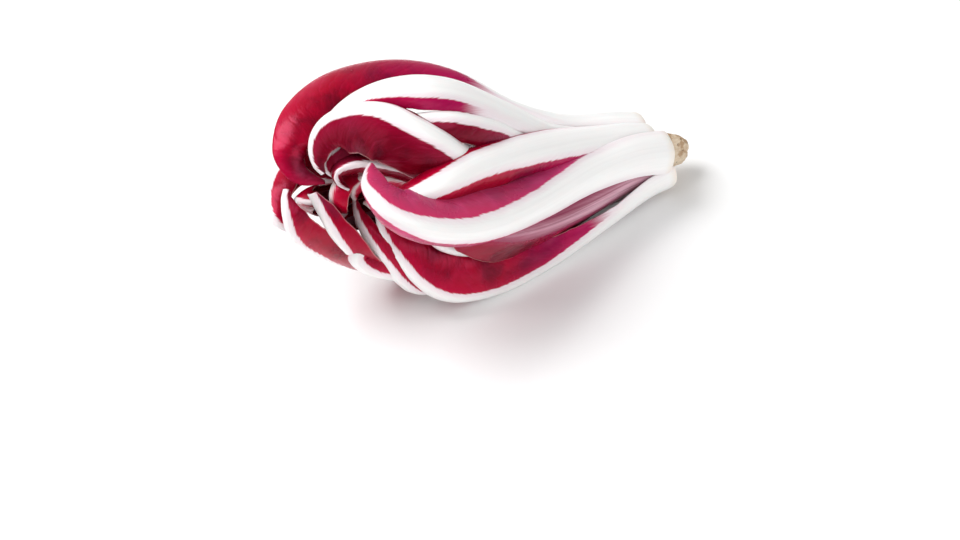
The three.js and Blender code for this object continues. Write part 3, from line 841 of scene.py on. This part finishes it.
def make_red_flush():
    """Where the leaf is red: past the rib, with a feathered edge, and only above its pale base."""
    tree, given, result = new_effect(
        "red_flush",
        [("Place", "NodeSocketVector", None), ("Part", "NodeSocketVector", None),
         ("Feather", "NodeSocketFloat", 0.7), ("Margin", "NodeSocketFloat", 2.6),
         ("Overrun", "NodeSocketFloat", 0.0)],
        [("Red", "NodeSocketFloat"), ("Tint", "NodeSocketFloat"), ("Edge", "NodeSocketFloat")],
    )
    along, across, order, lane = leaf_lanes(tree, given["Place"], 2.6)
    share, past, blade = vector_parts(tree, given["Part"])
    seed = times(tree, order, FLUSH_SEED)
    spot = place_vector(tree, lane, times(tree, across, 0.25), seed)
    barbs = noise(tree, spot, 0.55, 3.0, 0.65)
    broad = noise(tree, place_vector(tree, along, 0.0, seed), 0.05, 1.0)
    feathered = swing(tree, barbs, times(tree, given["Feather"], 2.4))
    shift = reckon(tree, "ADD", feathered, swing(tree, broad, 1.6))
    # Toward the tip the red can run over a thin rib.
    over = times(tree, given["Overrun"], rise(tree, share, 0.28, 0.5))
    reach = reckon(tree, "ADD", reckon(tree, "ADD", past, shift), over)
    over_rib = rise(tree, reach, 0.0, given["Feather"])
    start = reckon(tree, "ADD", share, swing(tree, barbs, 0.05))
    above = rise(tree, start, 0.0, 0.09)
    tree.links.new(times(tree, over_rib, above), result["Red"])
    # A violet tint creeps past the red, onto the rib's margin and down the pale base.
    near = rise(tree, reach, times(tree, given["Margin"], -1.0), 0.6)
    low = rise(tree, share, -0.16, 0.11, 0.35, 1.0)
    tree.links.new(times(tree, near, low), result["Tint"])
    tree.links.new(rise(tree, blade, 0.965, 1.0), result["Edge"])
    return tree


SIDE_VEINS = make_side_veins()
NET_VEINS = make_net_veins()
LONG_FIBRES = make_long_fibres()
RED_FLUSH = make_red_flush()


def new_material(name):
    """An empty node material with its shader and output."""
    material = bpy.data.materials.new(name)
    material.use_nodes = True
    tree = material.node_tree
    tree.nodes.clear()
    shader = tree.nodes.new("ShaderNodeBsdfPrincipled")
    output = tree.nodes.new("ShaderNodeOutputMaterial")
    tree.links.new(shader.outputs["BSDF"], output.inputs["Surface"])
    return material, tree, shader


# ---------------------------------------------------------------- colours
WHITE = (0.93, 0.92, 0.91, 1)
CREAM = (0.88, 0.80, 0.74, 1)
# Painted shade: a lilac for a rib that lies under its neighbours.
SHADED_LILAC = (0.8, 0.5, 0.6, 1)
VIOLET = (0.62, 0.16, 0.36, 1)
PALE_GROOVE = (0.78, 0.77, 0.765, 1)
# Painted shade: dark wine grooves for that rib.
SHADED_GROOVE = (0.14, 0.0, 0.03, 1)
FOOT_BRUISE = (0.80, 0.66, 0.47, 1)
# Painted shade: the wine that darkens a rib's hollow inner face.
HOLLOW_SHADE_WINE = (0.42, 0.08, 0.16, 1)
# Blades, from the clouds' depth to their light, and what lies over them.
WINE = (0.10, 0.0, 0.007, 1)
CRIMSON = (0.34, 0.0, 0.016, 1)
BRIGHT = (0.52, 0.0, 0.04, 1)
MAGENTA = (0.40, 0.004, 0.10, 1)
# Painted sheen: a pink haze laid over the blades.
SHEEN_BLOOM = (0.74, 0.09, 0.27, 1)
VEIN = (0.62, 0.04, 0.15, 1)
BLADE_RIM = (0.72, 0.36, 0.36, 1)
# Reflections are colourless on a rib and rosy on a blade.
CLEAR_SHEEN = (1, 1, 1, 1)
ROSY_SHEEN = (1.0, 0.12, 0.3, 1)
# The root.
ROOT_FLESH = (0.72, 0.60, 0.45, 1)
ROOT_FIBRE = (0.60, 0.45, 0.31, 1)
ROOT_BRUISE = (0.44, 0.29, 0.17, 1)
SOIL = (0.08, 0.05, 0.03, 1)

RIB_ROUGHNESS = 0.3
BLADE_ROUGHNESS = 0.27
ROUGHNESS_SWING = 0.14
SIDE_VEIN_SHOW = 0.08
NET_VEIN_SHOW = 0.03


def grey(value):
    """A grey of one value, to mix as a colour is mixed."""
    return (value, value, value, 1)


def rib_colour(tree, flush, fibres, along, inner, look):
    """A white rib with faint fibres and a warm, bruised foot; its hollow side is darkened with
    wine as painted shade.
    """
    shade = rise(tree, fibres["Streak"], 0.35, 0.75)
    deep = rise(tree, along, 15.0, 65.0, look["grooved"] * 0.8, look["grooved"])
    rib = blend(tree, times(tree, shade, deep), look["white"], look["groove"])
    from_foot = reckon(tree, "ADD", along, times(tree, fibres["Streak"], 3.0))
    foot = rise(tree, from_foot, 1.5, 6.5, 1.0, 0.0)
    rib = blend(tree, times(tree, foot, 0.4), rib, FOOT_BRUISE)
    rib = blend(tree, times(tree, flush["Tint"], look["tinted"]), rib, look["tint"])
    # Painted shade: the hollow inner face darkens with wine away from the foot.
    hollow_shade = times(tree, inner, rise(tree, along, 4.0, 30.0, 0.2, 0.85))
    return blend(tree, hollow_shade, rib, HOLLOW_SHADE_WINE)


def blade_colour(tree, flush, place, red_share, spread, clouds, veins, look):
    """Crimson that deepens to wine in clouds and is lighter along the veins, painted brighter by
    the rib and darker toward the inturned edge as shade, with a pink haze of painted sheen.
    """
    blade = blend(tree, rise(tree, clouds, 0.38, 0.68), look["crimson"], look["wine"])
    # Painted shade: lighter by the rib, darker toward the blade's inturned edge.
    rib_light = rise(tree, spread, 0.0, 0.45, 0.6, 0.0)
    blade = blend(tree, rib_light, blade, look["bright"])
    young = rise(tree, red_share, 0.02, 0.42, 0.75, 0.0)
    blade = blend(tree, young, blade, MAGENTA)
    # Painted sheen: a pink haze over the blade in patches.
    haze = rise(tree, noise(tree, place, 0.06), 0.5, 0.75, *look["bloom"])
    blade = blend(tree, haze, blade, SHEEN_BLOOM)
    blade = blend(tree, veins, blade, VEIN)
    return blend(tree, times(tree, flush["Edge"], 0.6), blade, BLADE_RIM)


def leaf_skin(name, **changes):
    """The waxy skin of a leaf: a white fluted rib that feathers into a veined wine-red blade.

    changes are the values in which it differs from the common look: its colours, feather (how
    broad the feathered edge of the red is), bloom (the least and most of the pink haze painted
    on as sheen), grooved (how much the fibres show), tinted and margin (how strong and broad the
    tint by the red is) and overrun (how far the red runs over the rib near the tip).
    """
    look = dict(
        white=WHITE, tint=VIOLET, wine=WINE, crimson=CRIMSON, bright=BRIGHT, groove=PALE_GROOVE,
        feather=0.7, bloom=(0.0, 0.09), grooved=0.3, tinted=0.26, margin=2.6, overrun=0.0,
    )
    look.update(changes)
    material, tree, shader = new_material(name)
    place = add_node(tree, "ShaderNodeAttribute", attribute_name="leaf_place").outputs["Vector"]
    part = add_node(tree, "ShaderNodeAttribute", attribute_name="leaf_part").outputs["Vector"]
    red_share, _, spread = vector_parts(tree, part)
    along, _, order = vector_parts(tree, place)
    # 1 on the inner face, whose order is raised by INNER_MARK.
    face = reckon(tree, "FRACT", reckon(tree, "ADD", order, 0.05))
    inner = rise(tree, face, 0.2, 0.5)

    flush = use_effect(tree, RED_FLUSH, {
        "Place": place, "Part": part, "Feather": look["feather"],
        "Margin": look["margin"], "Overrun": look["overrun"],
    })
    fibres = use_effect(tree, LONG_FIBRES, {"Place": place})
    side = use_effect(tree, SIDE_VEINS, {"Place": place})
    net = use_effect(tree, NET_VEINS, {"Place": place})
    clouds = noise(tree, place, 0.045, 4.0, 0.6)
    veins = reckon(
        tree, "MAXIMUM",
        times(tree, side["Vein"], SIDE_VEIN_SHOW), times(tree, net["Vein"], NET_VEIN_SHOW),
    )

    rib = rib_colour(tree, flush, fibres, along, inner, look)
    blade = blade_colour(tree, flush, place, red_share, spread, clouds, veins, look)
    tree.links.new(blend(tree, flush["Red"], rib, blade), shader.inputs["Base Color"])
    rough = blend(tree, flush["Red"], grey(RIB_ROUGHNESS), grey(BLADE_ROUGHNESS))
    rough_value = reckon(tree, "ADD", rough, swing(tree, clouds, ROUGHNESS_SWING))
    tree.links.new(rough_value, shader.inputs["Roughness"])

    # Height: fibres on the rib, puffed skin between sunken veins on the blade.
    puffed = reckon(tree, "ADD", times(tree, side["Height"], 0.7), times(tree, net["Height"], 0.3))
    height = add_node(tree, "ShaderNodeMix", {
        MIX_SHARE: flush["Red"], MIX_LOW: times(tree, fibres["Height"], 0.45), MIX_HIGH: puffed,
    }, data_type="FLOAT").outputs[0]
    bump = add_node(
        tree, "ShaderNodeBump", {"Strength": 0.3, "Distance": 0.0003, "Height": height},
    )
    tree.links.new(bump.outputs["Normal"], shader.inputs["Normal"])

    sheen = blend(tree, flush["Red"], CLEAR_SHEEN, ROSY_SHEEN)
    tree.links.new(sheen, shader.inputs["Specular Tint"])
    shader.inputs["Specular IOR Level"].default_value = 0.5
    shader.inputs["Coat Weight"].default_value = 0.05
    shader.inputs["Coat Roughness"].default_value = 0.2
    shader.inputs["Subsurface Weight"].default_value = 0.18
    shader.inputs["Subsurface Radius"].default_value = (1.0, 0.55, 0.5)
    shader.inputs["Subsurface Scale"].default_value = 0.0015
    return material


def cut_root_skin():
    """The trimmed root: pale fibrous flesh, scraped, with tan bruises and a few soil specks."""
    material, tree, shader = new_material("cut_root")
    spot = add_node(tree, "ShaderNodeTexCoord").outputs["Object"]
    x, y, z = vector_parts(tree, spot)
    fibres = noise(tree, place_vector(tree, times(tree, x, 0.25), y, z), 900.0, 3.0, 0.6)
    patches = noise(tree, spot, 190.0, 3.0, 0.6)
    specks = noise(tree, spot, 700.0)
    colour = blend(tree, rise(tree, fibres, 0.35, 0.7), ROOT_FLESH, ROOT_FIBRE)
    colour = blend(tree, rise(tree, patches, 0.5, 0.62), colour, ROOT_BRUISE)
    colour = blend(tree, times(tree, rise(tree, specks, 0.66, 0.72), 0.8), colour, SOIL)
    tree.links.new(colour, shader.inputs["Base Color"])
    shader.inputs["Roughness"].default_value = 0.78
    height = reckon(tree, "ADD", fibres, times(tree, patches, 0.6))
    bump = add_node(
        tree, "ShaderNodeBump", {"Strength": 0.8, "Distance": 0.0006, "Height": height},
    )
    tree.links.new(bump.outputs["Normal"], shader.inputs["Normal"])
    return material


leaf_material = leaf_skin("leaf_skin")
# Young leaves are redder, on cream ribs; their red is also painted brighter, as painted light
# against the shade in the heart.
heart_material = leaf_skin(
    "heart_leaf_skin", white=CREAM, wine=(0.3, 0.0, 0.015, 1), crimson=(0.62, 0.0, 0.03, 1),
    bright=(0.8, 0.03, 0.12, 1), feather=1.4,
)
# Painted sheen: the front leaf has a strong pink haze.
bloom_material = leaf_skin("bloomed_leaf_skin", bloom=(0.38, 0.65))
# Painted shade for the leaf under its neighbours: a lilac rib, dark wine grooves, a broad wine
# margin and deeper blades.
shaded_material = leaf_skin(
    "shaded_leaf_skin", white=SHADED_LILAC, tint=(0.28, 0.0, 0.06, 1), wine=(0.1, 0.0, 0.01, 1),
    crimson=(0.28, 0.0, 0.02, 1), bright=(0.36, 0.002, 0.06, 1), groove=SHADED_GROOVE, grooved=0.9,
    tinted=0.95, margin=8.0,
)
# Painted shade: the inner leaves, deep in the head, have darker blades.
inner_shade_material = leaf_skin(
    "inner_shade_leaf_skin", wine=(0.05, 0.0, 0.003, 1), crimson=(0.165, 0.0, 0.008, 1),
    bright=(0.3, 0.0, 0.025, 1), bloom=(0.0, 0.05),
)
back_material = leaf_skin("back_leaf_skin", overrun=3.0)
root_material = cut_root_skin()

# ---------------------------------------------------------------- the pieces
# Leaves with a skin of their own. The front one has a magenta haze of painted sheen, the one
# along the back is red right over its tip, the one that stays under its neighbours is painted with
# shade (lilac and wine on its rib), and the inner ones have blades painted a deeper wine as shade.
# The others have the common skin.
SKINS = {
    "leaf_outer_1": bloom_material,
    "leaf_outer_6": back_material,
    "leaf_middle_2": shaded_material,
    "leaf_inner_2": inner_shade_material,
    "leaf_inner_3": inner_shade_material,
    "leaf_inner_4": inner_shade_material,
    "leaf_inner_5": inner_shade_material,
    "leaf_inner_6": inner_shade_material,
    "leaf_inner_8": inner_shade_material,
}

for order, leaf in enumerate(LEAVES):
    points, place_rows, part_rows = leaf_rings(leaf, order)
    rings, size = points.shape[:2]
    heart = "heart" in leaf["name"]
    skin = heart_material if heart else SKINS.get(leaf["name"], leaf_material)
    piece = mesh_object(
        leaf["name"] + "_skin", points.reshape(-1, 3), skin_faces(rings, size), skin,
    )
    note_on_points(piece.data, "leaf_place", place_rows.reshape(-1, 3))
    note_on_points(piece.data, "leaf_part", part_rows.reshape(-1, 3))
    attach(piece, "root")
    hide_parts(leaf["name"])

ROOT_RINGS = 60
ROOT_SIDES = 72
ROOT_SEED = 7
# Knobs and scores of the root, as (how many go round it, height). They twist as they run along it
# by an angle for each millimetre between these two, and stand in a little from the profile.
ROOT_KNOBS = ((3, 0.35), (5, 0.22), (9, 0.14), (17, 0.1), (26, 0.07))
KNOB_TWIST = (0.02, 0.12)
KNOB_SINK = 0.3
# Knobs fade out where the root is thinner than this.
KNOB_RADIUS = 3.0


def root_points():
    """The trimmed root: the model's profile made finer, knobbly and scored along its length."""
    rng = random.Random(ROOT_SEED)
    alongs = np.array([row[0] for row in ROOT_PROFILE], float)
    radii = np.array([row[1] for row in ROOT_PROFILE], float)
    run = np.r_[0, np.cumsum(np.hypot(np.diff(alongs), np.diff(radii)))]
    places = np.linspace(0, run[-1], ROOT_RINGS)
    along = np.interp(places, run, alongs)
    radius = np.interp(places, run, radii)
    angle = np.linspace(0, 2 * math.pi, ROOT_SIDES, endpoint=False)
    knobs = np.zeros((ROOT_RINGS, ROOT_SIDES))
    for lobes, height in ROOT_KNOBS:
        twist = rng.uniform(*KNOB_TWIST)
        start = rng.uniform(0, 2 * math.pi)
        knobs += height * np.sin(lobes * angle[None, :] + start + twist * lobes * along[:, None])
    full = np.clip(radius / KNOB_RADIUS, 0, 1)[:, None]
    grown = radius[:, None] + (knobs - KNOB_SINK) * full
    outward = np.cos(angle)[:, None] * UP + np.sin(angle)[:, None] * FRONT
    return CROWN + along[:, None, None] * AXIS + grown[:, :, None] * outward


def root_faces():
    """Faces round the root's rings, from the buried end to the cut one."""
    faces = []
    for i in range(ROOT_RINGS - 1):
        for j in range(ROOT_SIDES):
            a, b = i * ROOT_SIDES + j, i * ROOT_SIDES + (j + 1) % ROOT_SIDES
            faces.append((a, b, b + ROOT_SIDES, a + ROOT_SIDES))
    return faces


root = mesh_object("root_stub_skin", root_points().reshape(-1, 3), root_faces(), root_material)
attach(root, "root")
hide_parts("root_stub")

# ---------------------------------------------------------------- the surface, light and camera
FLOOR_HALF = 3.0
FLOOR_WHITE = (0.93, 0.93, 0.93, 1)
floor_material, _, floor_shader = new_material("pale_surface")
floor_shader.inputs["Base Color"].default_value = FLOOR_WHITE
floor_shader.inputs["Roughness"].default_value = 0.6
corners = [(-1, -1, 0), (1, -1, 0), (1, 1, 0), (-1, 1, 0)]
floor_mesh = bpy.data.meshes.new("surface")
floor_mesh.from_pydata([Vector(corner) * FLOOR_HALF for corner in corners], [], [(0, 1, 2, 3)])
floor_mesh.materials.append(floor_material)
floor = bpy.data.objects.new("surface", floor_mesh)
bpy.context.scene.collection.objects.link(floor)

# The lights are turned toward this point.
MIDDLE = Vector((0.0, 0.0, 0.04))


def soft_light(name, place, size, power):
    """A square area light at a place, turned toward MIDDLE."""
    lamp = bpy.data.lights.new(name, "AREA")
    lamp.size = size
    lamp.energy = power
    light = bpy.data.objects.new(name, lamp)
    light.location = place
    light.rotation_euler = (MIDDLE - Vector(place)).to_track_quat("-Z", "Y").to_euler()
    bpy.context.scene.collection.objects.link(light)


soft_light("key", (-0.45, 0.4, 0.9), 0.7, 11.0)
soft_light("front_fill", (0.25, -1.1, 0.7), 0.9, 6.5)
soft_light("left_fill", (-1.1, -0.3, 0.5), 0.6, 1.5)

WORLD_STRENGTH = 0.42
world = bpy.data.worlds.new("studio")
world.use_nodes = True
background = world.node_tree.nodes["Background"]
background.inputs["Color"].default_value = (1, 1, 1, 1)
background.inputs["Strength"].default_value = WORLD_STRENGTH
bpy.context.scene.world = world
bpy.context.scene.view_settings.view_transform = "Standard"

# The camera's place in millimetres, and its turns in degrees.
CAMERA_PLACE = (-295.85, -595.64, 564.72)
CAMERA_AZIMUTH = -25.636
CAMERA_ELEVATION = 40.804
CAMERA_ROLL = -6.868
lens = bpy.data.cameras.new("camera")
lens.lens = 85
lens.sensor_width = 36
lens.clip_start = 0.01
camera = bpy.data.objects.new("camera", lens)
turn = (
    Matrix.Rotation(math.radians(CAMERA_AZIMUTH), 4, "Z")
    @ Matrix.Rotation(math.radians(90 - CAMERA_ELEVATION), 4, "X")
    @ Matrix.Rotation(math.radians(CAMERA_ROLL), 4, "Z")
)
camera.matrix_world = Matrix.Translation(Vector(CAMERA_PLACE) * MM) @ turn
bpy.context.scene.collection.objects.link(camera)
bpy.context.scene.camera = camera

bpy.context.view_layer.update()
